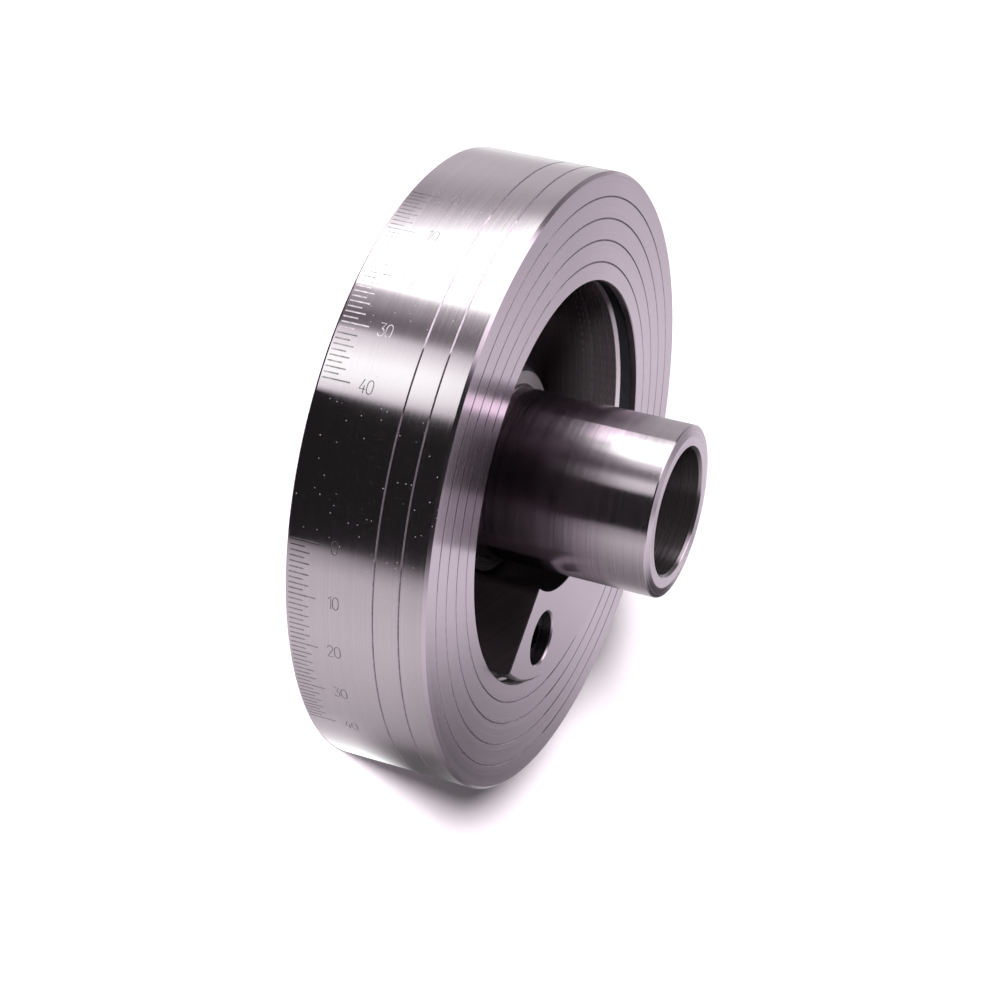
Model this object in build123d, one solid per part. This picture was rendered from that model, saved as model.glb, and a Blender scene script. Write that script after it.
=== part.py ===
from build123d import *

import os
from math import cos, radians, sin

# Harmonic balancer for a V8 crankshaft, in millimetres.
# +Z runs along the crank axis, out through the snout. The balancer stands on
# the front face of its inertia ring: z = 0 is that face and the origin is its
# centre. +X points at the zero line of the first timing scale, and the scales
# count anticlockwise seen from the snout. The counterweight lies opposite, on -X.

# ---- inertia ring -----------------------------------------------------------
ring_diameter = 171.45
ring_width = 38.9
ring_section = 20.125  # radial, from its outside to the bore that holds the rubber
ring_edge_chamfer = 0.85
lip_reach = 9.4  # the back lip turns inwards this far over the rubber
lip_thickness = 2.0

# Fine turned lines: four on the back face and two round the outside.
face_line_count = 4
face_line_margin = 5.1  # radial, from the lip's edge to the first
face_line_pitch = 5.9  # radial
outer_line_count = 2
outer_line_pitch = 7.1  # along the axis, from the back face
turned_line_width = 0.5
turned_line_depth = 0.3

# Engraved timing scales on the outside, next to the front face.
scale_zero_angles = (0.0, 67.3)
scale_degrees = 40
scale_line_start = 1.3  # from the front face
scale_line_lengths = {"ten": 7.7, "even": 5.6, "odd": 4.1}
scale_line_width = 0.4
scale_line_depth = 0.25

# ---- rubber between ring and hub --------------------------------------------
rubber_thickness = 3.0  # radial
rubber_lip_setback = 0.7  # of the flange under the lip, behind the lip's edge
rubber_front_recess = 2.5

# ---- hub --------------------------------------------------------------------
hub_front_recess = 1.0  # behind the ring's front face
rim_wall = 6.0  # radial
rim_end_depth = 5.4  # below the ring's back face
rim_bevel_height = 1.2
rim_bevel_radial = 0.25
cup_depth = 29.6  # web floor below the ring's back face
snout_diameter = 47.625  # the front seal runs on it
snout_length = 34.3  # beyond the ring's back face
snout_root_chamfer = 0.8
boss_shoulder = 5.6  # radial, round the snout's root
boss_depth = 16.1  # boss end face below the ring's back face
boss_chamfer = 1.3
snout_lead_radial = 2.9  # shallow bevel round the snout's end
snout_lead_height = 0.45
snout_edge_break = 0.3
crank_bore_diameter = 34.925
crank_bore_chamfer = 0.8
bolt_recess_diameter = 44.45  # takes the crank bolt's washer
bolt_recess_depth = 9.0

# Tapped holes in the web for the pulley and the puller.
pulley_circle_diameter = 76.2
pulley_hole_count = 3
pulley_hole_first_angle = 60.0
pulley_hole_diameter = 8.6
pulley_hole_chamfer = 0.7

# ---- bolt-in counterweight --------------------------------------------------
weight_angle = 180.0  # where its middle lies
weight_half_angle = 60.0  # of its two end faces
weight_end_offset = 3.8  # where the end faces would meet, from the crank axis
weight_rim_clearance = 1.8  # radial, inside the hub's rim
weight_boss_clearance = 0.05  # radial
weight_proud = 3.2  # above the ring's back face
weight_outer_chamfer = 0.8

# ---- socket head screws that hold the counterweight -------------------------
screw_circle_offset = 0.7  # outwards from the middle of the counterweight's width
screw_half_angle = 34.6  # each side of the counterweight's middle
screw_diameter = 9.525
screw_head_diameter = 14.3
screw_head_height = 9.5
screw_socket_width = 7.9  # across the flats
screw_socket_depth = 5.0
screw_head_sunk = 2.8  # below the counterweight's face
screw_end_gap = 1.0  # from the hub's front face
screw_head_clearance = 0.4  # radial
screw_shank_clearance = 0.4  # radial, through the counterweight
screw_thread_clearance = 0.03  # radial, in the hub's tapped holes
counterbore_chamfer = 0.5

# ---- worked out from the above ----------------------------------------------
ring_radius = ring_diameter / 2
ring_bore_radius = ring_radius - ring_section
lip_radius = ring_bore_radius - lip_reach
rim_outer_radius = ring_bore_radius - rubber_thickness
rim_inner_radius = rim_outer_radius - rim_wall
snout_radius = snout_diameter / 2
boss_radius = snout_radius + boss_shoulder
weight_inner_radius = boss_radius + weight_boss_clearance
weight_outer_radius = rim_inner_radius - weight_rim_clearance
screw_circle_radius = (boss_radius + weight_outer_radius) / 2 + screw_circle_offset
back_z = ring_width
lip_under_z = back_z - lip_thickness
rim_end_z = back_z - rim_end_depth
web_z = back_z - cup_depth
boss_z = back_z - boss_depth
snout_z = back_z + snout_length
hub_front_z = hub_front_recess
bolt_seat_z = hub_front_z + bolt_recess_depth
weight_top_z = back_z + weight_proud
screw_head_top_z = weight_top_z - screw_head_sunk
screw_seat_z = screw_head_top_z - screw_head_height
counterbore_radius = screw_head_diameter / 2 + screw_head_clearance
screw_angles = (weight_angle - screw_half_angle, weight_angle + screw_half_angle)
past = 1.0  # how far a cutting shape runs past the face it cuts


def turned(points):
    """A solid of revolution about Z from (radius, z) points."""
    return revolve(Plane.XZ * make_face(Polyline(*points, close=True)), Axis.Z)


def drilled(radius, top_z, bottom_z, chamfer_size=0.0):
    """A round cutter along Z, with a countersink where it leaves top_z."""
    points = [(0, bottom_z), (radius, bottom_z), (radius, top_z - chamfer_size)]
    if chamfer_size:
        points.append((radius + chamfer_size, top_z))
        points.append((radius + chamfer_size, top_z + past))
    else:
        points.append((radius, top_z + past))
    points.append((0, top_z + past))
    return turned(points)


def on_circle(shape, circle_radius, angle):
    """The shape moved from the crank axis to a place on a bolt circle."""
    return Rot(0, 0, angle) * Pos(circle_radius, 0, 0) * shape


# ---- inertia ring -----------------------------------------------------------
def face_line(radius):
    """A V-shaped turned line in the ring's back face."""
    half = turned_line_width / 2
    return turned(
        [
            (radius, back_z - turned_line_depth),
            (radius + half, back_z),
            (radius + half, back_z + past),
            (radius - half, back_z + past),
            (radius - half, back_z),
        ]
    )


def outer_line(z):
    """A V-shaped turned line round the ring's outside."""
    half = turned_line_width / 2
    return turned(
        [
            (ring_radius - turned_line_depth, z),
            (ring_radius, z - half),
            (ring_radius + past, z - half),
            (ring_radius + past, z + half),
            (ring_radius, z + half),
        ]
    )


def scale_line_length(degree):
    if degree % 10 == 0:
        return scale_line_lengths["ten"]
    if degree % 2 == 0:
        return scale_line_lengths["even"]
    return scale_line_lengths["odd"]


def timing_scale(zero_angle):
    """The cutters for one engraved scale, a line for each degree."""
    cutters = []
    for degree in range(scale_degrees + 1):
        length = scale_line_length(degree)
        blade = Box(
            scale_line_depth + past,
            scale_line_width,
            length,
            align=(Align.MIN, Align.CENTER, Align.MIN),
        )
        place = Pos(ring_radius - scale_line_depth, 0, scale_line_start)
        cutters.append(Rot(0, 0, zero_angle + degree) * place * blade)
    return cutters


def inertia_ring():
    chamfer_size = ring_edge_chamfer
    ring = turned(
        [
            (ring_bore_radius, 0),
            (ring_radius - chamfer_size, 0),
            (ring_radius, chamfer_size),
            (ring_radius, back_z - chamfer_size),
            (ring_radius - chamfer_size, back_z),
            (lip_radius, back_z),
            (lip_radius, lip_under_z),
            (ring_bore_radius, lip_under_z),
        ]
    )
    for number in range(face_line_count):
        ring -= face_line(lip_radius + face_line_margin + number * face_line_pitch)
    for number in range(1, outer_line_count + 1):
        ring -= outer_line(back_z - number * outer_line_pitch)
    for zero_angle in scale_zero_angles:
        ring -= timing_scale(zero_angle)
    return ring


# ---- rubber -----------------------------------------------------------------
def elastomer_ring():
    """A sleeve between the rim and the ring, with a flange under the lip."""
    flange_radius = lip_radius + rubber_lip_setback
    return turned(
        [
            (rim_outer_radius, rubber_front_recess),
            (ring_bore_radius, rubber_front_recess),
            (ring_bore_radius, lip_under_z),
            (flange_radius, lip_under_z),
            (flange_radius, rim_end_z),
            (rim_outer_radius, rim_end_z),
        ]
    )


# ---- hub --------------------------------------------------------------------
def hub():
    bore = crank_bore_diameter / 2
    recess = bolt_recess_diameter / 2
    lead_z = snout_z - snout_lead_height
    body = turned(
        [
            (recess, hub_front_z),
            (rim_outer_radius, hub_front_z),
            (rim_outer_radius, rim_end_z),
            (rim_inner_radius + rim_bevel_radial, rim_end_z),
            (rim_inner_radius, rim_end_z - rim_bevel_height),
            (rim_inner_radius, web_z),
            (boss_radius, web_z),
            (boss_radius, boss_z - boss_chamfer),
            (boss_radius - boss_chamfer, boss_z),
            (snout_radius + snout_root_chamfer, boss_z),
            (snout_radius, boss_z + snout_root_chamfer),
            (snout_radius, lead_z - snout_edge_break),
            (snout_radius - snout_edge_break, lead_z),
            (snout_radius - snout_lead_radial, snout_z),
            (bore + crank_bore_chamfer, snout_z),
            (bore, snout_z - crank_bore_chamfer),
            (bore, bolt_seat_z + crank_bore_chamfer),
            (bore + crank_bore_chamfer, bolt_seat_z),
            (recess, bolt_seat_z),
        ]
    )
    pulley_hole = mirror(
        drilled(pulley_hole_diameter / 2, -hub_front_z, -web_z - past, pulley_hole_chamfer),
        Plane.XY,
    )
    for number in range(pulley_hole_count):
        angle = pulley_hole_first_angle + number * 360 / pulley_hole_count
        body -= on_circle(pulley_hole, pulley_circle_diameter / 2, angle)
    thread_radius = screw_diameter / 2 + screw_thread_clearance
    screw_hole = drilled(thread_radius, web_z, hub_front_z - past)
    for angle in screw_angles:
        body -= on_circle(screw_hole, screw_circle_radius, angle)
    return body


# ---- counterweight ----------------------------------------------------------
def counterweight():
    """A thick segment round the boss, standing on the hub's web."""
    blank = turned(
        [
            (weight_inner_radius, web_z),
            (weight_outer_radius, web_z),
            (weight_outer_radius, weight_top_z - weight_outer_chamfer),
            (weight_outer_radius - weight_outer_chamfer, weight_top_z),
            (weight_inner_radius, weight_top_z),
        ]
    )
    reach = 2 * weight_outer_radius
    across = reach * sin(radians(weight_half_angle))
    along = reach * cos(radians(weight_half_angle))
    wedge = Polygon(
        (weight_end_offset, 0),
        (weight_end_offset + along, -across),
        (weight_end_offset + reach, -across),
        (weight_end_offset + reach, across),
        (weight_end_offset + along, across),
        align=None,
    )
    keep = extrude(Pos(0, 0, web_z) * wedge, weight_top_z - web_z)
    weight = blank & (Rot(0, 0, weight_angle) * keep)
    head_hole = drilled(counterbore_radius, weight_top_z, screw_seat_z, counterbore_chamfer)
    shank_radius = screw_diameter / 2 + screw_shank_clearance
    shank_hole = drilled(shank_radius, screw_seat_z, web_z - past)
    for angle in screw_angles:
        weight -= on_circle(head_hole, screw_circle_radius, angle)
        weight -= on_circle(shank_hole, screw_circle_radius, angle)
    return weight


def counterweight_screw(angle):
    """A socket head cap screw in its counterbore."""
    head = screw_head_diameter / 2
    shank = screw_diameter / 2
    end_z = hub_front_z + screw_end_gap
    screw = turned(
        [
            (0, end_z),
            (shank, end_z),
            (shank, screw_seat_z),
            (head, screw_seat_z),
            (head, screw_head_top_z),
            (0, screw_head_top_z),
        ]
    )
    hexagon = RegularPolygon(screw_socket_width / 2, 6, major_radius=False)
    socket_floor = Pos(0, 0, screw_head_top_z - screw_socket_depth)
    screw -= extrude(socket_floor * hexagon, screw_socket_depth + past)
    return on_circle(screw, screw_circle_radius, angle)


parts = {
    "inertia_ring": inertia_ring(),
    "elastomer_ring": elastomer_ring(),
    "hub": hub(),
    "counterweight": counterweight(),
    "counterweight_screw_1": counterweight_screw(screw_angles[0]),
    "counterweight_screw_2": counterweight_screw(screw_angles[1]),
}

os.makedirs("parts", exist_ok=True)
for name, solid in parts.items():
    export_step(solid, f"parts/{name}.step")
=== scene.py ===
from math import cos, pi, radians, sin

import bpy
from mathutils import Matrix, Vector

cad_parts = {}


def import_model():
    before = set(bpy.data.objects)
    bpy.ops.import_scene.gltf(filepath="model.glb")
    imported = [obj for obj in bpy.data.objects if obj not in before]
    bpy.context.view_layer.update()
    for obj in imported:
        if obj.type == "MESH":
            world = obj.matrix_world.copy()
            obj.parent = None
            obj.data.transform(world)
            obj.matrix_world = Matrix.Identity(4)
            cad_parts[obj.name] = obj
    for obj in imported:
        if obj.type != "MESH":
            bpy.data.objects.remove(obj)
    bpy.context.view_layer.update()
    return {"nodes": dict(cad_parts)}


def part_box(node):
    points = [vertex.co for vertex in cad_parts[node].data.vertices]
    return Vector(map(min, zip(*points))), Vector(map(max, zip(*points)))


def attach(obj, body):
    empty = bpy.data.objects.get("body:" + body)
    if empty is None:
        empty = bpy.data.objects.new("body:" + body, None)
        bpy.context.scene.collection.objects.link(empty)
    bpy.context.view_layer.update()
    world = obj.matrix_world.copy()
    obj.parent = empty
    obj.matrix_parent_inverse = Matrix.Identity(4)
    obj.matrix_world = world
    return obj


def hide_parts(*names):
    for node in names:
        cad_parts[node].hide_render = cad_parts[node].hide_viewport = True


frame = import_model()

# Everything is in metres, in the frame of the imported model: the balancer lies on z = 0,
# its axis is +Z, and +X points at the zero line of the first timing scale. Angles round
# the axis are in degrees from +X.
MM = 0.001

# ---- sizes ------------------------------------------------------------------
ring_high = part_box("inertia_ring")[1]
rubber_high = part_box("elastomer_ring")[1]
RING_RADIUS = max(ring_high.x, ring_high.y)
RING_WIDTH = ring_high.z
RING_BORE_RADIUS = max(rubber_high.x, rubber_high.y)
RING_EDGE_CHAMFER = 0.85 * MM
LIP_RADIUS = RING_BORE_RADIUS - 9.4 * MM
LIP_THICKNESS = 2.0 * MM
LIP_EDGE_BREAK = 0.25 * MM

FACE_LINE_COUNT = 4
FACE_LINE_FIRST_RADIUS = LIP_RADIUS + 5.1 * MM
FACE_LINE_PITCH = 5.9 * MM
OUTER_LINE_COUNT = 2
OUTER_LINE_PITCH = 7.1 * MM
TURNED_LINE_WIDTH = 0.5 * MM
TURNED_LINE_DEPTH = 0.3 * MM

SCALE_ZERO_ANGLES = (0.0, 67.3)
SCALE_DEGREES = 40
SCALE_LINE_START = 1.3 * MM
SCALE_LINE_LENGTHS = {"ten": 7.7 * MM, "even": 5.6 * MM, "odd": 4.1 * MM}
SCALE_LINE_WIDTH = 0.4 * MM
SCALE_LINE_DEPTH = 0.045 * MM
SCALE_CUTTER_RISE = 0.1 * MM  # how far its cutters stand out of the ring
SCALE_ROWS = (9.3 * MM, 11.5 * MM, 15.5 * MM)  # past the lines, and beside the numbers

NUMBER_STEP = 10
DIGIT_CENTRE_Z = 13.5 * MM
DIGIT_HEIGHT = 3.6 * MM
DIGIT_WIDTH = 1.6 * MM
DIGIT_PITCH = 2.0 * MM
DIGIT_STROKE = 0.3 * MM
DIGIT_CUTTER_RADIUS = 0.25 * MM
DIGIT_CUTTER_ROUNDNESS = 4

LATHE_SEGMENTS = 720
SMOOTH_ANGLE = 8.0  # edges sharper than this many degrees stay sharp

# Where hub and counterweight look different: each zone has a range of radii and one of
# heights. The recess and the bore, dark in the photo, get painted shade, and the bevel at
# the recess's mouth, pale in the photo, is made partly matt so that the lamps show it pale.
SNOUT_RADIUS = 23.8125 * MM
BOSS_RADIUS = 29.5 * MM
CUP_RADIUS = RING_BORE_RADIUS - 9.0 * MM
CUP_EDGE_Z = RING_WIDTH - 6.6 * MM
BORE_RADIUS = 17.4625 * MM
BORE_EDGE_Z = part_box("hub")[1].z - 0.1 * MM
WEIGHT_TOP_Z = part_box("counterweight")[1].z
RECESS_ZONE = ((SNOUT_RADIUS + 0.3 * MM, CUP_RADIUS), (-MM, CUP_EDGE_Z))
BORE_ZONE = ((-MM, BORE_RADIUS + 0.7 * MM), (-MM, BORE_EDGE_Z))
BEVEL_ZONE = (
    (CUP_RADIUS - 0.3 * MM, CUP_RADIUS + 0.5 * MM),
    (CUP_EDGE_Z, CUP_EDGE_Z + 1.2 * MM),
)
ZONE_SOFTNESS = 0.15 * MM


# ---- node helpers -----------------------------------------------------------
NOISE_BAND = (0.3, 0.7)  # nearly all of a noise lies in this band


class Nodes:
    """A short way to write a node tree: most calls add a node and return its output."""

    def __init__(self, tree):
        self.tree = tree
        tree.nodes.clear()

    def new(self, kind, inputs=None, **settings):
        """Adds a node and returns the node itself. An input is a socket or a value."""
        node = self.tree.nodes.new(kind)
        for name, value in settings.items():
            setattr(node, name, value)
        for key, value in (inputs or {}).items():
            if isinstance(value, bpy.types.NodeSocket):
                self.tree.links.new(value, node.inputs[key])
            else:
                node.inputs[key].default_value = value
        return node

    def add(self, kind, output=0, inputs=None, **settings):
        return self.new(kind, inputs, **settings).outputs[output]

    def surface(self, shader, kind="ShaderNodeOutputMaterial"):
        self.new(kind, {"Surface": shader})

    def math(self, operation, a, b=0.0):
        return self.add("ShaderNodeMath", inputs={0: a, 1: b}, operation=operation)

    def times(self, a, b):
        return self.math("MULTIPLY", a, b)

    def vector(self, operation, a, b):
        return self.add("ShaderNodeVectorMath", inputs={0: a, 1: b}, operation=operation)

    def scaled(self, vector, factor):
        inputs = {0: vector, "Scale": factor}
        return self.add("ShaderNodeVectorMath", inputs=inputs, operation="SCALE")

    def split(self, vector):
        return self.new("ShaderNodeSeparateXYZ", {0: vector}).outputs

    def combine(self, x, y, z):
        return self.add("ShaderNodeCombineXYZ", inputs={0: x, 1: y, 2: z})

    def noise(self, vector, scale, detail):
        inputs = {"Vector": vector, "Scale": scale, "Detail": detail}
        return self.add("ShaderNodeTexNoise", inputs=inputs)

    def ramp(self, value, from_low, from_high, to_low, to_high):
        inputs = {0: value, 1: from_low, 2: from_high, 3: to_low, 4: to_high}
        return self.add("ShaderNodeMapRange", inputs=inputs, clamp=True)

    def spread(self, noise, low, high):
        """Noise stretched to run from low to high."""
        return self.ramp(noise, *NOISE_BAND, low, high)

    def mix(self, factor, a, b):
        """From colour a to colour b."""
        inputs = {"Factor": factor, 6: a, 7: b}
        return self.add("ShaderNodeMix", output=2, inputs=inputs, data_type="RGBA")

    def between(self, factor, a, b):
        """From number a to number b."""
        return self.add("ShaderNodeMix", inputs={"Factor": factor, 2: a, 3: b})


def new_material(name):
    material = bpy.data.materials.new(name)
    material.use_nodes = True
    return material, Nodes(material.node_tree)


def turn_of(nodes, x, y):
    """The angle round the axis, from 0 to 1 over the full circle."""
    angle = nodes.math("DIVIDE", nodes.math("ARCTAN2", y, x), 2 * pi)
    return nodes.math("FRACT", nodes.math("ADD", angle, 1.0))


def inside(nodes, value, low, high, soft=ZONE_SOFTNESS):
    rises = nodes.ramp(value, low - soft, low + soft, 0.0, 1.0)
    falls = nodes.ramp(value, high - soft, high + soft, 1.0, 0.0)
    return nodes.times(rises, falls)


def in_zone(nodes, radius, z, zone):
    radii, heights = zone
    return nodes.times(inside(nodes, radius, *radii), inside(nodes, z, *heights))


# ---- turned steel -----------------------------------------------------------
STEEL_COLOUR = (0.60, 0.515, 0.574)
SHADE_BASE_COLOUR = (0.68, 0.60, 0.62)
DUST_COLOUR = (0.12, 0.11, 0.12, 1.0)

LINES_ACROSS = 4200.0  # cells of noise per metre across the lines
LINES_AROUND = 0.4  # radius, in cells of noise, of the circle that each line runs round
LINES_SLANT = 0.83  # share of the radius that counts as height, for lines on faces too
CLOUDS_SCALE = 45.0
LINES_SHARE, CLOUDS_SHARE = 0.7, 0.3  # of what makes the steel patchy
PATCHES_DARKER, PATCHES_PALER = 0.1, 0.06  # at a grain of 1
LINES_ROUGHNESS = 0.03  # either way, at a grain of 1
LINES_BUMP = 0.03  # at a grain of 1
LINES_BUMP_HEIGHT = 0.00001

DUST_CELLS = 600.0  # per metre
DUST_SPECK = (0.04, 0.1)  # shares of a cell at which a speck starts and ends to fade
DUST_DULL = 0.6

# The painted shade is made paler towards the top and away from the boss, and the steel under it
# rougher towards the top.
SHADE_HEIGHTS = (8.0 * MM, 24.0 * MM)
SHADE_LOWEST = 0.08
SHADE_BOSS_RADII = (BOSS_RADIUS, BOSS_RADIUS + 2.0 * MM)
SHADE_AT_BOSS = 0.35
SHADE_LINES = (0.86, 1.12)
SHADE_IN_BORE = 0.9
SHADE_ROUGH_HEIGHTS = (10.0 * MM, 24.0 * MM)
SHADE_ROUGHNESS = 0.1
WEIGHT_SHADE_HEIGHTS = (WEIGHT_TOP_Z - 0.5 * MM, WEIGHT_TOP_Z - 0.2 * MM)
MATT_DULL = 0.35


def radius_of(nodes, place):
    flat = nodes.vector("MULTIPLY", place, (1.0, 1.0, 0.0))
    return nodes.add("ShaderNodeVectorMath", 1, {0: flat}, operation="LENGTH")


def turned_lines(nodes, radius, x, y, z):
    """Noise that is long round the axis and fine across, on faces and outsides alike."""
    across = nodes.math("ADD", z, nodes.times(radius, LINES_SLANT))
    reach = nodes.math("DIVIDE", LINES_AROUND, radius)
    around = nodes.combine(
        nodes.times(x, reach), nodes.times(y, reach), nodes.times(across, LINES_ACROSS)
    )
    return nodes.noise(around, 1.0, 1.0)


def dust(nodes, place, share):
    """Small pale specks, in this share of the cells."""
    cells = nodes.new("ShaderNodeTexVoronoi", {"Vector": place, "Scale": DUST_CELLS})
    near = nodes.ramp(cells.outputs["Distance"], *DUST_SPECK, 1.0, 0.0)
    picked = nodes.math("LESS_THAN", cells.outputs["Color"], share)
    return nodes.times(near, picked)


def hub_oil(nodes, radius, z):
    """The recess and the bore, dark in the photo: where the turned steel gets painted shade."""
    recess = in_zone(nodes, radius, z, RECESS_ZONE)
    bore = in_zone(nodes, radius, z, BORE_ZONE)
    return nodes.math("MAXIMUM", recess, nodes.times(bore, SHADE_IN_BORE))


def weight_oil(nodes, radius, z):
    """All of the counterweight but its top face: painted shade, as in the recess. All
    of the counterweight but its top face: a guess, as in the recess.
    """
    return nodes.ramp(z, *WEIGHT_SHADE_HEIGHTS, 1.0, 0.0)


def hub_matt(nodes, radius, z):
    """The bevel at the mouth of the recess: made partly matt, so that the lamps show it pale.
    The bevel at the mouth of the recess: a guess at scuffed steel.
    """
    return in_zone(nodes, radius, z, BEVEL_ZONE)


def steel(
    name, roughness, anisotropy, grain, dusty, painted_shade=None, shade_top_level=1.0, shade_matt=0.0, matt=None
):
    """Ground or turned steel: fine lines round the axis, uneven sheen and sparse dust.

    Two arguments say where the steel gets painted shade and where it is made matt; two more,
    how much of the shaded colour is left at the top, and how matt the rougher steel is there.
    """
    material, nodes = new_material(name)
    place = nodes.add("ShaderNodeTexCoord", output="Object")
    x, y, z = nodes.split(place)
    radius = radius_of(nodes, place)
    lines = turned_lines(nodes, radius, x, y, z)
    clouds = nodes.noise(place, CLOUDS_SCALE, 1.0)
    speck = dust(nodes, place, dusty)

    patchy = nodes.math(
        "ADD", nodes.times(lines, LINES_SHARE), nodes.times(clouds, CLOUDS_SHARE)
    )
    level = nodes.spread(patchy, 1.0 - PATCHES_DARKER * grain, 1.0 + PATCHES_PALER * grain)
    base = nodes.scaled(STEEL_COLOUR, level)
    swing = LINES_ROUGHNESS * grain
    rough = nodes.spread(lines, roughness - swing, roughness + swing)
    dull = nodes.times(speck, DUST_DULL)
    # Painted shade: the steel is darkened where the shade function says, less towards the top
    # and away from the boss.
    if painted_shade:
        shade_share = painted_shade(nodes, radius, z)
        outward = nodes.ramp(radius, *SHADE_BOSS_RADII, SHADE_AT_BOSS, 1.0)
        depth = nodes.times(nodes.ramp(z, *SHADE_HEIGHTS, SHADE_LOWEST, shade_top_level), outward)
        depth = nodes.times(depth, nodes.spread(lines, *SHADE_LINES))
        base = nodes.mix(shade_share, base, nodes.scaled(SHADE_BASE_COLOUR, depth))
        shade_roughening = nodes.times(shade_share, nodes.ramp(z, *SHADE_ROUGH_HEIGHTS, 0.0, SHADE_ROUGHNESS))
        rough = nodes.math("ADD", rough, shade_roughening)
        shade_matt_share = nodes.times(nodes.times(shade_roughening, outward), shade_matt)
        dull = nodes.math("MAXIMUM", dull, shade_matt_share)
    base = nodes.mix(speck, base, DUST_COLOUR)
    # Made partly matt where the matt function says, so that the lamps show it pale in place of a
    # highlight.
    if matt:
        matt_share = nodes.times(matt(nodes, radius, z), MATT_DULL)
        dull = nodes.math("MAXIMUM", dull, matt_share)

    bump = {"Height": lines, "Strength": LINES_BUMP * grain, "Distance": LINES_BUMP_HEIGHT}
    inputs = {
        "Base Color": base,
        "Metallic": nodes.math("SUBTRACT", 1.0, dull),
        "Roughness": rough,
        "Anisotropic": anisotropy,
        "Anisotropic Rotation": 0.25,
        "Normal": nodes.add("ShaderNodeBump", inputs=bump),
        "Tangent": nodes.vector("CROSS_PRODUCT", (0.0, 0.0, 1.0), place),
    }
    nodes.surface(nodes.add("ShaderNodeBsdfPrincipled", inputs=inputs))
    return material


# ---- plain steel and rubber -------------------------------------------------
GRIME_SCALE = 700.0
GRIME_BAND = (0.35, 0.65)
GRIME_ROUGHNESS = 0.1
SHADED_COLOUR = (0.03, 0.03, 0.03, 1.0)
BELOW_FACE_HEIGHTS = (RING_WIDTH - 1.2 * MM, RING_WIDTH - 0.9 * MM)
ARC_SOFTNESS = 0.3  # degrees
RUBBER_DARK = (0.004, 0.004, 0.005, 1.0)
RUBBER_PALE = (0.01, 0.01, 0.012, 1.0)
RUBBER_GRAIN_SCALE = 1500.0
RUBBER_BUMP_HEIGHT = 0.00005


def arcs_share(nodes, turn, arcs):
    total = 0.0
    for first, last, share in arcs:
        arc = inside(nodes, turn, first / 360, last / 360, ARC_SOFTNESS / 360)
        total = nodes.math("ADD", total, nodes.times(arc, share))
    return total


def plain_steel(name, dark, pale, roughness, pale_arcs=(), shaded=()):
    """Steel with no grain: darker and paler patches, grimy where it is dark.

    Arcs are (from, to, share) in degrees. On the pale ones it is made matt and pale below the
    ring's face, painted light, and on the shaded ones it is darker on that face, painted shade.
    They imitate how pale or dark the photo shows the lines there; no wear was seen.
    """
    material, nodes = new_material(name)
    place = nodes.add("ShaderNodeTexCoord", output="Object")
    grime = nodes.noise(place, GRIME_SCALE, 2.0)
    base = nodes.mix(nodes.ramp(grime, *GRIME_BAND, 0.0, 1.0), dark, pale)
    rough = nodes.ramp(grime, *GRIME_BAND, roughness + GRIME_ROUGHNESS, roughness)
    metal = 1.0
    if pale_arcs or shaded:
        x, y, z = nodes.split(place)
        turn = turn_of(nodes, x, y)
        below = nodes.ramp(z, *BELOW_FACE_HEIGHTS, 1.0, 0.0)
        # Painted light on the pale arcs below the ring's face, painted shade on the shaded arcs
        # on it.
        pale_share = nodes.times(below, arcs_share(nodes, turn, pale_arcs))
        metal = nodes.math("SUBTRACT", 1.0, pale_share)
        on_face = nodes.math("SUBTRACT", 1.0, below)
        shade = nodes.times(on_face, arcs_share(nodes, turn, shaded))
        base = nodes.mix(shade, base, SHADED_COLOUR)
    inputs = {"Base Color": base, "Metallic": metal, "Roughness": rough}
    nodes.surface(nodes.add("ShaderNodeBsdfPrincipled", inputs=inputs))
    return material


def rubber():
    material, nodes = new_material("black_rubber")
    place = nodes.add("ShaderNodeTexCoord", output="Object")
    grain = nodes.noise(place, RUBBER_GRAIN_SCALE, 3.0)
    bump = {"Height": grain, "Strength": 0.3, "Distance": RUBBER_BUMP_HEIGHT}
    inputs = {
        "Base Color": nodes.mix(nodes.spread(grain, 0.0, 1.0), RUBBER_DARK, RUBBER_PALE),
        "Roughness": nodes.spread(grain, 0.45, 0.6),
        "Normal": nodes.add("ShaderNodeBump", inputs=bump),
        "Specular IOR Level": 0.25,
    }
    nodes.surface(nodes.add("ShaderNodeBsdfPrincipled", inputs=inputs))
    return material


RING_STEEL = steel("ground_steel", 0.22, 0.85, grain=0.75, dusty=0.7)
# Painted shade darkens the hub's recess and bore.
HUB_STEEL = steel(
    "turned_steel", 0.19, 0.85, grain=1.2, dusty=0.04, painted_shade=hub_oil, shade_matt=0.35, matt=hub_matt
)
# Painted shade darkens the counterweight's sides and underside, not its top face.
WEIGHT_STEEL = steel(
    "milled_steel", 0.26, 0.5, grain=0.15, dusty=0.04, painted_shade=weight_oil, shade_top_level=0.35
)
SCREW_STEEL = plain_steel(
    "black_oxide_steel", (0.05, 0.05, 0.07, 1.0), (0.09, 0.09, 0.12, 1.0), 0.25
)
# The cut lines are darker than the steel round them: grime in the cuts, and painted shade in
# them.
LINE_STEEL = plain_steel(
    "turned_line_steel",
    (0.40, 0.34, 0.38, 1.0),
    (0.50, 0.42, 0.48, 1.0),
    0.3,
    pale_arcs=((2, 31.5, 0.3), (43, 68, 0.06), (68.6, 130, 0.05)),
    shaded=((0.5, 40, 0.7), (165, 240, 0.85)),
)
ENGRAVED_STEEL = plain_steel(
    "engraved_steel",
    (0.22, 0.19, 0.21, 1.0),
    (0.34, 0.30, 0.33, 1.0),
    0.3,
    pale_arcs=((21.5, 31.3, 0.42),),
)
RUBBER = rubber()


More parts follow.
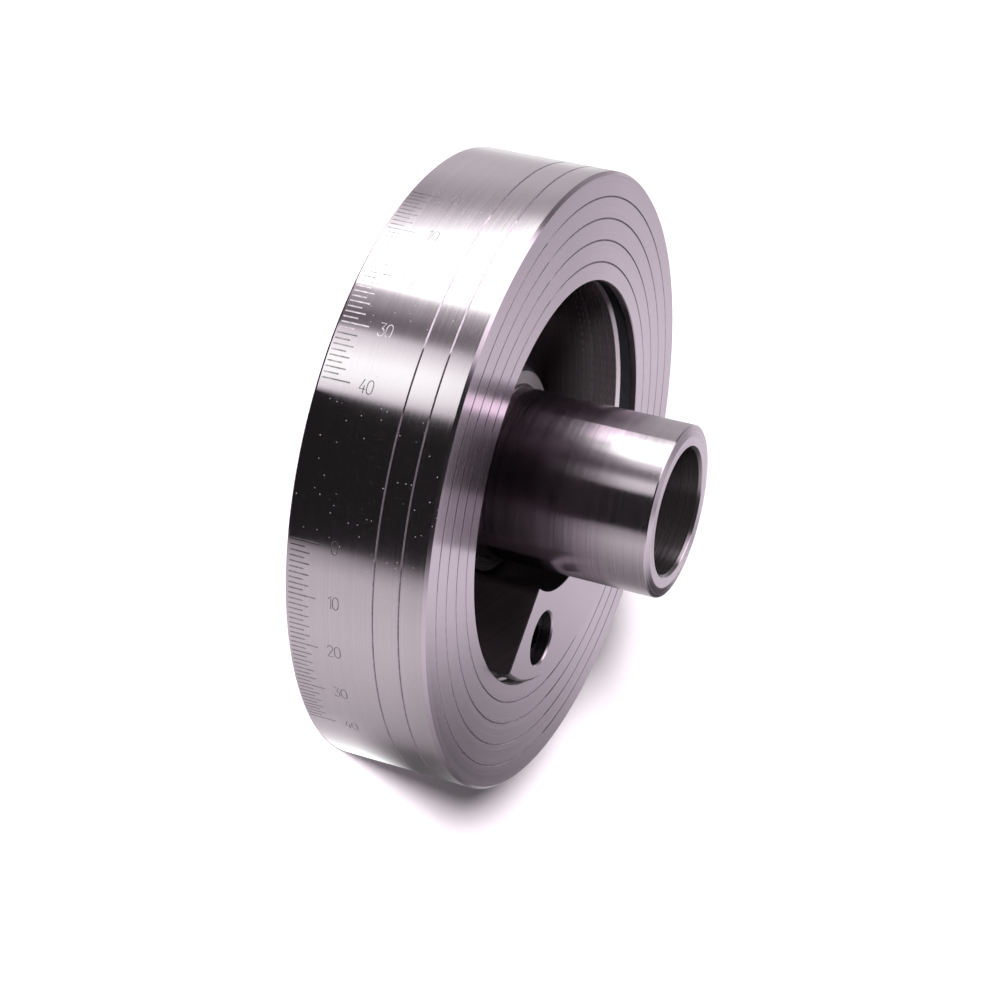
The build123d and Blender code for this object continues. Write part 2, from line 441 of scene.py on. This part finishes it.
# ---- shapes -----------------------------------------------------------------
def new_object(name, data):
    thing = bpy.data.objects.new(name, data)
    bpy.context.scene.collection.objects.link(thing)
    return thing


def mesh_object(name, vertices, faces, material):
    mesh = bpy.data.meshes.new(name)
    mesh.from_pydata(vertices, [], faces)
    mesh.materials.append(material)
    return new_object(name, mesh)


def lathe(name, profile, material, line_bottoms, line_material):
    """A closed solid of revolution about Z from (radius, z) points.

    The faces that meet at the points numbered in line_bottoms get the line's material.
    """
    count = len(profile)
    vertices = []
    for step in range(LATHE_SEGMENTS):
        turn = 2 * pi * step / LATHE_SEGMENTS
        vertices += [(r * cos(turn), r * sin(turn), z) for r, z in profile]
    faces = []
    for step in range(LATHE_SEGMENTS):
        here, there = step * count, (step + 1) % LATHE_SEGMENTS * count
        for point in range(count):
            after = (point + 1) % count
            faces.append((here + point, there + point, there + after, here + after))
    thing = mesh_object(name, vertices, faces, material)
    thing.data.materials.append(line_material)
    in_line = [
        int(point in line_bottoms or (point + 1) % count in line_bottoms)
        for point in range(count)
    ]
    thing.data.polygons.foreach_set("material_index", in_line * LATHE_SEGMENTS)
    return thing


def v_line(start, end, depth):
    """Three profile points of a V cut between two (radius, z) points."""
    (r0, z0), (r1, z1) = start, end
    middle = ((r0 + r1) / 2 + depth[0], (z0 + z1) / 2 + depth[1])
    return [start, middle, end]


def ring_profile():
    """The inertia ring's section, anticlockwise from its front bore edge, and the numbers
    of the points at the bottom of its V lines."""
    bottoms = []
    chamfer, half = RING_EDGE_CHAMFER, TURNED_LINE_WIDTH / 2
    points = [
        (RING_BORE_RADIUS, 0.0),
        (RING_RADIUS - chamfer, 0.0),
        (RING_RADIUS, chamfer),
    ]
    # Extra rows round the outside keep each cut's long thin faces close to it.
    points += [(RING_RADIUS, z) for z in SCALE_ROWS]
    for number in range(OUTER_LINE_COUNT, 0, -1):
        z = RING_WIDTH - number * OUTER_LINE_PITCH
        bottoms.append(len(points) + 1)
        start, end = (RING_RADIUS, z - half), (RING_RADIUS, z + half)
        points += v_line(start, end, (-TURNED_LINE_DEPTH, 0.0))
    points += [(RING_RADIUS, RING_WIDTH - chamfer), (RING_RADIUS - chamfer, RING_WIDTH)]
    for number in range(FACE_LINE_COUNT - 1, -1, -1):
        r = FACE_LINE_FIRST_RADIUS + number * FACE_LINE_PITCH
        bottoms.append(len(points) + 1)
        start, end = (r + half, RING_WIDTH), (r - half, RING_WIDTH)
        points += v_line(start, end, (0.0, -TURNED_LINE_DEPTH))
    points += [
        (LIP_RADIUS + LIP_EDGE_BREAK, RING_WIDTH),
        (LIP_RADIUS, RING_WIDTH - LIP_EDGE_BREAK),
        (LIP_RADIUS, RING_WIDTH - LIP_THICKNESS),
        (RING_BORE_RADIUS, RING_WIDTH - LIP_THICKNESS),
    ]
    return points, bottoms


def scale_line_length(degree):
    if degree % 10 == 0:
        return SCALE_LINE_LENGTHS["ten"]
    if degree % 2 == 0:
        return SCALE_LINE_LENGTHS["even"]
    return SCALE_LINE_LENGTHS["odd"]


# Single-line digits: strokes of points, each digit one wide and two high from its foot.
# A stroke that ends where it starts is closed.
DIGIT_STROKES = {
    "0": [[(0.5, 0.0), (0.15, 0.2), (0.0, 0.6), (0.0, 1.4), (0.15, 1.8), (0.5, 2.0),
           (0.85, 1.8), (1.0, 1.4), (1.0, 0.6), (0.85, 0.2), (0.5, 0.0)]],
    "1": [[(0.5, 1.55), (0.95, 2.0), (0.95, 0.0)]],
    "2": [[(0.05, 1.55), (0.2, 1.88), (0.5, 2.0), (0.8, 1.88), (0.95, 1.55), (0.85, 1.2),
           (0.0, 0.0), (1.0, 0.0)]],
    "3": [[(0.0, 2.0), (0.95, 2.0), (0.45, 1.22), (0.8, 1.1), (1.0, 0.65), (0.85, 0.2),
           (0.45, 0.0), (0.12, 0.15), (0.0, 0.45)]],
    "4": [[(0.6, 2.0), (0.0, 0.6), (1.0, 0.6)], [(0.75, 1.15), (0.75, 0.0)]],
}


def place_on_ring(angle, along, up, radius):
    """A point at this radius, along the axis and up towards the scale's zero."""
    turn = radians(angle) - up / RING_RADIUS
    return (radius * cos(turn), radius * sin(turn), along)


def scale_cutters():
    """A three-sided bar for each scale line, which cuts a V, as one mesh."""
    vertices, faces = [], []
    bar_faces = [(0, 1, 2), (5, 4, 3), (0, 3, 4, 1), (1, 4, 5, 2), (2, 5, 3, 0)]
    rise, depth = SCALE_CUTTER_RISE, SCALE_LINE_DEPTH
    half = SCALE_LINE_WIDTH / 2 * (depth + rise) / depth
    corners = [(-half, rise), (half, rise), (0.0, -depth)]
    for zero_angle in SCALE_ZERO_ANGLES:
        for degree in range(SCALE_DEGREES + 1):
            first = len(vertices)
            end = SCALE_LINE_START + scale_line_length(degree)
            for z in (SCALE_LINE_START, end):
                for side, high in corners:
                    place = place_on_ring(zero_angle + degree, z, side, RING_RADIUS + high)
                    vertices.append(place)
            faces += [tuple(first + corner for corner in face) for face in bar_faces]
    return mesh_object("scale_cutters", vertices, faces, ENGRAVED_STEEL)


def number_strokes(text):
    """Each stroke of a number, as points along the axis and up from its scale line."""
    start = DIGIT_CENTRE_Z - (DIGIT_PITCH * (len(text) - 1) + DIGIT_WIDTH) / 2
    for number, digit in enumerate(text):
        for stroke in DIGIT_STROKES[digit]:
            yield [
                (
                    start + number * DIGIT_PITCH + across * DIGIT_WIDTH,
                    (high / 2 - 0.5) * DIGIT_HEIGHT,
                )
                for across, high in stroke
            ]


def add_spline(curve, places):
    closed = places[0] == places[-1]
    if closed:
        places = places[:-1]
    spline = curve.splines.new("POLY")
    spline.points.add(len(places) - 1)
    spline.use_cyclic_u = closed
    for point, place in zip(spline.points, places):
        point.co = (*place, 1.0)


def digit_cutters():
    """Round rods along the strokes of every number, which dip into the outside."""
    rod_radius = RING_RADIUS + (DIGIT_CUTTER_RADIUS ** 2 - (DIGIT_STROKE / 2) ** 2) ** 0.5
    curve = bpy.data.curves.new("digit_cutters", "CURVE")
    curve.dimensions = "3D"
    curve.bevel_depth = DIGIT_CUTTER_RADIUS
    curve.bevel_resolution = DIGIT_CUTTER_ROUNDNESS
    curve.use_fill_caps = True
    curve.materials.append(ENGRAVED_STEEL)
    for zero_angle in SCALE_ZERO_ANGLES:
        for label in range(0, SCALE_DEGREES + 1, NUMBER_STEP):
            angle = zero_angle + label
            for stroke in number_strokes(str(label)):
                add_spline(curve, [place_on_ring(angle, *point, rod_radius) for point in stroke])
    return new_object("digit_cutters", curve)


def final_mesh(thing):
    bpy.context.view_layer.update()
    ready = thing.evaluated_get(bpy.context.evaluated_depsgraph_get())
    return bpy.data.meshes.new_from_object(ready)


def engrave(thing, cutter, crossing):
    """Cuts the cutter out of the thing; crossing says that the cutter crosses itself."""
    cut = thing.modifiers.new("engrave", "BOOLEAN")
    cut.operation = "DIFFERENCE"
    cut.solver = "EXACT"
    cut.use_self = crossing
    cut.material_mode = "TRANSFER"
    cut.object = cutter
    mesh = final_mesh(thing)
    thing.modifiers.remove(cut)
    thing.data = mesh


def inertia_ring():
    profile, bottoms = ring_profile()
    ring = lathe("engraved_inertia_ring", profile, RING_STEEL, bottoms, LINE_STEEL)
    lines = scale_cutters()
    engrave(ring, lines, crossing=False)
    rods = digit_cutters()
    digits = new_object("digit_cutter_mesh", final_mesh(rods))
    engrave(ring, digits, crossing=True)
    for tool in (lines, rods, digits):
        bpy.data.objects.remove(tool)
    ring.data.shade_smooth()
    ring.data.set_sharp_from_angle(angle=radians(SMOOTH_ANGLE))
    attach(ring, "root")
    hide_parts("inertia_ring")


def smooth_modifier_group():
    """Shades a CAD node smooth; its faces are already split where its edges are sharp."""
    group = bpy.data.node_groups.new("shade_smooth", "GeometryNodeTree")
    for way in ("INPUT", "OUTPUT"):
        group.interface.new_socket("Geometry", in_out=way, socket_type="NodeSocketGeometry")
    start = group.nodes.new("NodeGroupInput")
    shade = group.nodes.new("GeometryNodeSetShadeSmooth")
    end = group.nodes.new("NodeGroupOutput")
    group.links.new(start.outputs[0], shade.inputs[0])
    group.links.new(shade.outputs[0], end.inputs[0])
    return group


def dress(node, material, group):
    thing = frame["nodes"][node]
    thing.data.materials.clear()
    thing.data.materials.append(material)
    thing.modifiers.new("smooth", "NODES").node_group = group


inertia_ring()
shade_smooth = smooth_modifier_group()
dress("elastomer_ring", RUBBER, shade_smooth)
dress("hub", HUB_STEEL, shade_smooth)
dress("counterweight", WEIGHT_STEEL, shade_smooth)
dress("counterweight_screw_1", SCREW_STEEL, shade_smooth)
dress("counterweight_screw_2", SCREW_STEEL, shade_smooth)

# ---- camera -----------------------------------------------------------------
CAMERA_PLACE = Vector((0.4235, 0.4707, 0.2556))
CAMERA_LOOKS = Vector((-0.63677, -0.68959, -0.34502))
CAMERA_UP = Vector((0.76926, -0.59886, -0.22282))
CAMERA_SENSOR = 36.0  # millimetres, as the lens is
CAMERA_LENS = 88.40
CAMERA_CLIP = (0.01, 50.0)


def camera():
    data = bpy.data.cameras.new("camera")
    data.sensor_width = CAMERA_SENSOR
    data.lens = CAMERA_LENS
    data.clip_start, data.clip_end = CAMERA_CLIP
    thing = new_object("camera", data)
    back = -CAMERA_LOOKS.normalized()
    right = CAMERA_UP.cross(back).normalized()
    up = back.cross(right)
    turn = Matrix((right, up, back)).transposed()
    thing.matrix_world = Matrix.Translation(CAMERA_PLACE) @ turn.to_4x4()
    bpy.context.scene.camera = thing


camera()

# ---- studio -----------------------------------------------------------------
WHITE = (1.0, 1.0, 1.0, 1.0)
FLOOR_COLOUR = (0.90, 0.82, 0.88, 1.0)
FLOOR_GLOW = 0.02  # for the camera and for reflections
FLOOR_HALF_SIZE = 6.0
BACKDROP_COLOUR = (1.0, 0.955, 1.02, 1.0)
BACKDROP_ON_MATT = 0.08  # how strongly the backdrop lights what is matt

# The studio as the metal mirrors it. A surface shows the camera what lies in the
# direction that its normal halves with the way to the camera. So the panels and flags
# are set out by the angle of that normal round the axis, as (degrees, glow). The glows
# were set to match the brightness that the photo shows at those angles, so they
# suit its camera. In other views the panels stay where they are.
#
# Below the horizon, in the outside of the ring: a white panel, a pale one and a black
# flag, near the ring and further away.
FLOOR_NEAR = [
    (-44, 0.6), (-35, 0.7), (-28, 1.15), (-24, 0.8), (-20, 0.7), (-16, 0.74), (-10, 0.76),
    (-4, 0.6), (0, 0.48), (2, 0.55), (4, 0.75), (8, 1.4), (10.5, 2.0), (13, 4.0),
    (21.5, 4.0), (23, 0.8), (28, 0.2), (30, 0.25), (31, 1.1), (36, 1.85), (39, 1.75),
    (41.5, 1.3), (42.5, 0.02), (67, 0.02), (68.5, 0.5), (72, 0.8), (84, 0.88), (96, 0.74),
    (104, 0.66), (108, 0.74), (112, 0.84), (116, 1.1), (120, 1.5), (124, 2.2), (150, 2.2),
]
FLOOR_FAR = [
    (-44, 0.6), (-35, 0.7), (-28, 1.15), (-24, 0.8), (-20, 0.7), (-16, 0.72), (-10, 0.74),
    (-4, 0.57), (0, 0.44), (2, 0.55), (4, 0.9), (8, 1.9), (10, 3.0), (12, 4.0),
    (21.5, 4.0), (23.5, 0.65), (28, 0.2), (30, 0.25), (31.5, 1.2), (36, 2.0), (39, 1.8),
    (41.5, 1.3), (42.5, 0.02), (67, 0.02), (69.5, 0.5), (72, 0.8), (84, 0.88), (96, 0.7),
    (104, 0.52), (108, 0.36), (112, 0.12), (150, 0.1),
]
# Still further off, in the snout.
FLOOR_END = [
    (-44, 0.5), (-28, 0.55), (-16, 0.6), (-10, 0.58), (-4, 0.45), (0, 0.8), (3, 3.0),
    (6, 4.0), (17, 4.0), (20, 1.3), (25, 0.5), (29, 0.25), (32, 0.6), (35, 1.2), (40, 0.9),
    (42.5, 0.02), (67, 0.02), (69.5, 0.5), (78, 0.8), (84, 0.65), (96, 0.4), (108, 0.3),
    (118, 0.35), (126, 0.6), (150, 0.6),
]
# Right under the ring's front edge.
FLOOR_EDGE = [
    (-44, 0.6), (10, 0.7), (18, 0.3), (22, 0.02), (66, 0.02), (70, 0.6), (110, 0.6),
    (124, 2.0), (150, 2.0),
]
# How far beyond the ring each table holds.
FAN_COLUMNS = [
    (-0.8 * MM, FLOOR_EDGE), (0.5 * MM, FLOOR_EDGE), (0.6 * MM, FLOOR_NEAR),
    (28 * MM, FLOOR_NEAR), (64 * MM, FLOOR_FAR), (90 * MM, FLOOR_FAR),
    (130 * MM, FLOOR_END), (2.5, FLOOR_END),
]
FAN_STEP = 0.5  # degrees
FAN_HEIGHT = 0.05 * MM
BRIGHT_PANEL_COLOUR = (0.99, 1.11, 1.02, 1.0)
BRIGHT_PANEL_GLOW = (0.9, 1.8)  # over which white turns into the bright panel's colour

# Above the horizon, in upright walls.
WALL_GLOW = [
    (-45, 0.06), (-8, 0.05), (-3, 0.3), (1, 3.0), (11, 3.0), (14, 0.4), (28, 0.12),
    (32, 0.03), (66.5, 0.01), (69, 0.35), (80, 0.45), (95, 0.25), (120, 0.1), (180, 0.1),
]
# Above the horizon, in bevels and in the flanks of turned lines.
BEVEL_GLOW = [
    (-60, 1.0), (-40, 0.95), (-28, 0.55), (-12, 0.3), (-4, 0.15), (1, 1.0), (5, 2.5),
    (21, 2.5), (24, 1.7), (30, 1.1), (32, 0.02), (64, 0.02), (67, 0.15), (74, 0.95),
    (84, 1.0), (92, 0.85), (100, 0.6), (108, 0.42), (116, 0.24), (124, 0.16), (150, 0.1),
    (180, 0.2), (225, 0.4), (255, 0.7), (290, 0.8),
]
# Above the horizon, in the shallow bevel round the snout's end.
LEAD_GLOW = [
    (-60, 0.7), (-40, 0.7), (-25, 0.3), (0, 0.2), (10, 0.4), (20, 0.6), (40, 0.3),
    (60, 0.6), (80, 0.8), (95, 0.8), (108, 0.4), (118, 0.02), (155, 0.02), (165, 0.2),
    (172, 0.4), (180, 0.25), (190, 0.14), (205, 0.15), (225, 0.2), (236, 0.35),
    (248, 0.5), (262, 0.6),
]
# Above the horizon, in the back faces.
FACE_GLOW = [
    (-40, 0.7), (-30, 0.5), (-20, 0.34), (-10, 0.26), (0, 0.36), (10, 0.5), (20, 0.62),
    (36, 0.75), (42, 0.5), (45, 0.14), (54, 0.14), (60, 0.9), (70, 1.3), (80, 1.1),
    (90, 0.95), (100, 0.7), (110, 0.3), (120, 0.02), (150, 0.02), (160, 0.08), (168, 0.4),
    (176, 0.7), (182, 0.7), (198, 0.65), (206, 0.4), (216, 0.5), (225, 0.85), (250, 1.15),
    (290, 1.05), (310, 0.9),
]
# Nearly straight across from the camera, in the middle of the back faces and the
# snout's end.
CENTRE_GLOW = [
    (0, 0.95), (60, 1.0), (100, 1.05), (150, 1.0), (182, 1.0), (190, 0.6), (200, 0.12),
    (216, 0.1), (226, 0.4), (236, 0.9), (246, 1.15), (262, 0.9), (285, 0.9), (300, 0.95),
]
GLOW_TOP = 4.0  # the glow that white stands for in a colour ramp
# From the centre out: how many degrees the halving direction leans from the axis where
# one table gives way to the next, and that next table.
ROOM_TABLES = [
    ((6.0, 8.5), FACE_GLOW),
    ((11.3, 12.0), LEAD_GLOW),
    ((30.0, 36.0), BEVEL_GLOW),
    ((52.0, 58.0), WALL_GLOW),
]


def floor():
    material, nodes = new_material("floor_white")
    ray = nodes.new("ShaderNodeLightPath").outputs
    mirrored = nodes.math("MAXIMUM", ray["Is Glossy Ray"], ray["Is Transmission Ray"])
    seen = nodes.math("MAXIMUM", ray["Is Camera Ray"], mirrored)
    matt = nodes.add("ShaderNodeBsdfDiffuse", inputs={"Color": FLOOR_COLOUR})
    strength = nodes.times(seen, FLOOR_GLOW)
    glow = nodes.add("ShaderNodeEmission", inputs={"Color": WHITE, "Strength": strength})
    nodes.surface(nodes.add("ShaderNodeAddShader", inputs={0: matt, 1: glow}))
    h = FLOOR_HALF_SIZE
    corners = [(-h, -h, 0), (h, -h, 0), (h, h, 0), (-h, h, 0)]
    ground = mesh_object("floor", corners, [(0, 1, 2, 3)], material)


def glow_at(stops, angle):
    for (a0, g0), (a1, g1) in zip(stops, stops[1:]):
        if a0 <= angle <= a1:
            return g0 + (g1 - g0) * (angle - a0) / (a1 - a0)
    return stops[-1][1]


def mirrored_direction(normal):
    """Where the camera's sight line goes, along the floor, from the ring's outside."""
    sight = normal * RING_RADIUS - CAMERA_PLACE
    bounced = sight - 2 * sight.dot(normal) * normal
    bounced.z = 0.0
    return bounced.normalized()


def reflector_fan():
    """Panels and flags laid on the floor, which only the metal's reflections see."""
    first, last = FLOOR_NEAR[0][0], FLOOR_NEAR[-1][0]
    rows, columns = int((last - first) / FAN_STEP) + 1, len(FAN_COLUMNS)
    vertices, faces, glows = [], [], []
    for row in range(rows):
        angle = first + row * FAN_STEP
        normal = Vector((cos(radians(angle)), sin(radians(angle)), 0.0))
        base = normal * RING_RADIUS
        base.z = FAN_HEIGHT
        way = mirrored_direction(normal)
        for column, (reach, stops) in enumerate(FAN_COLUMNS):
            vertices.append(base + way * reach)
            glows.append(glow_at(stops, angle))
            if row and column:
                k = row * columns + column
                faces.append((k - columns - 1, k - columns, k, k - 1))
    material, nodes = new_material("reflector")
    glow = nodes.add("ShaderNodeAttribute", output="Fac", attribute_name="glow")
    bright = nodes.ramp(glow, *BRIGHT_PANEL_GLOW, 0.0, 1.0)
    colour = nodes.mix(bright, WHITE, BRIGHT_PANEL_COLOUR)
    inputs = {"Color": colour, "Strength": glow}
    nodes.surface(nodes.add("ShaderNodeEmission", inputs=inputs))
    fan = mesh_object("reflector_fan", vertices, faces, material)
    layer = fan.data.attributes.new("glow", "FLOAT", "POINT")
    layer.data.foreach_set("value", glows)
    fan.visible_camera = False
    fan.visible_diffuse = False
    fan.visible_shadow = False
    fan.visible_transmission = False


def far_light(name, azimuth, elevation, width, strength, shadow=True):
    """A wide far-off light for all that is matt; the metal doesn't mirror it."""
    data = bpy.data.lights.new(name, "SUN")
    data.use_shadow = shadow
    data.angle = radians(width)
    data.energy = strength
    thing = new_object(name, data)
    a, e = radians(azimuth), radians(elevation)
    way = Vector((cos(a) * cos(e), sin(a) * cos(e), sin(e)))
    thing.location = way
    thing.rotation_mode = "QUATERNION"
    thing.rotation_quaternion = way.to_track_quat("Z", "Y")
    thing.visible_glossy = False


def glow_ramp(nodes, turn, stops):
    """The glow that a table gives for a turn, which runs from 0 to 1 over the circle."""
    ramp = nodes.new("ShaderNodeValToRGB", {0: turn})
    elements = ramp.color_ramp.elements
    stops = sorted((angle % 360, glow) for angle, glow in stops)
    while len(elements) < len(stops):
        elements.new(0.5)
    for element, (angle, glow) in zip(elements, stops):
        element.position = angle / 360
        element.color = (glow / GLOW_TOP,) * 3 + (1.0,)
    return nodes.times(ramp.outputs[0], GLOW_TOP)


def give_way(nodes, z, tilts, inner, outer):
    """Inner where the halving direction leans less than tilts, outer where more."""
    least, most = tilts
    factor = nodes.ramp(z, cos(radians(most)), cos(radians(least)), 0.0, 1.0)
    return nodes.between(factor, outer, inner)


def world():
    """A pale room for the camera and the floor, and the panels that the metal mirrors."""
    sky = bpy.data.worlds.new("studio")
    bpy.context.scene.world = sky
    sky.use_nodes = True
    nodes = Nodes(sky.node_tree)
    to_camera = (CAMERA_PLACE - Vector((0.0, 0.0, RING_WIDTH))).normalized()
    way = nodes.add("ShaderNodeTexCoord", output="Generated")
    both = nodes.vector("ADD", way, to_camera)
    halving = nodes.add("ShaderNodeVectorMath", inputs={0: both}, operation="NORMALIZE")
    x, y, z = nodes.split(halving)
    turn = turn_of(nodes, x, y)
    room = glow_ramp(nodes, turn, CENTRE_GLOW)
    for tilts, stops in ROOM_TABLES:
        room = give_way(nodes, z, tilts, room, glow_ramp(nodes, turn, stops))
    ray = nodes.new("ShaderNodeLightPath").outputs
    even = nodes.ramp(ray["Is Camera Ray"], 0.0, 1.0, BACKDROP_ON_MATT, 1.0)
    strength = nodes.between(ray["Is Glossy Ray"], even, room)
    inputs = {"Color": BACKDROP_COLOUR, "Strength": strength}
    back = nodes.add("ShaderNodeBackground", inputs=inputs)
    nodes.surface(back, "ShaderNodeOutputWorld")


floor()
reflector_fan()
far_light("key_light", azimuth=34.0, elevation=19.5, width=8.5, strength=13.0)
far_light("fill_light", azimuth=-20.0, elevation=-4.0, width=20.0, strength=6.0, shadow=False)
world()

scene = bpy.context.scene
scene.view_settings.view_transform = "Standard"
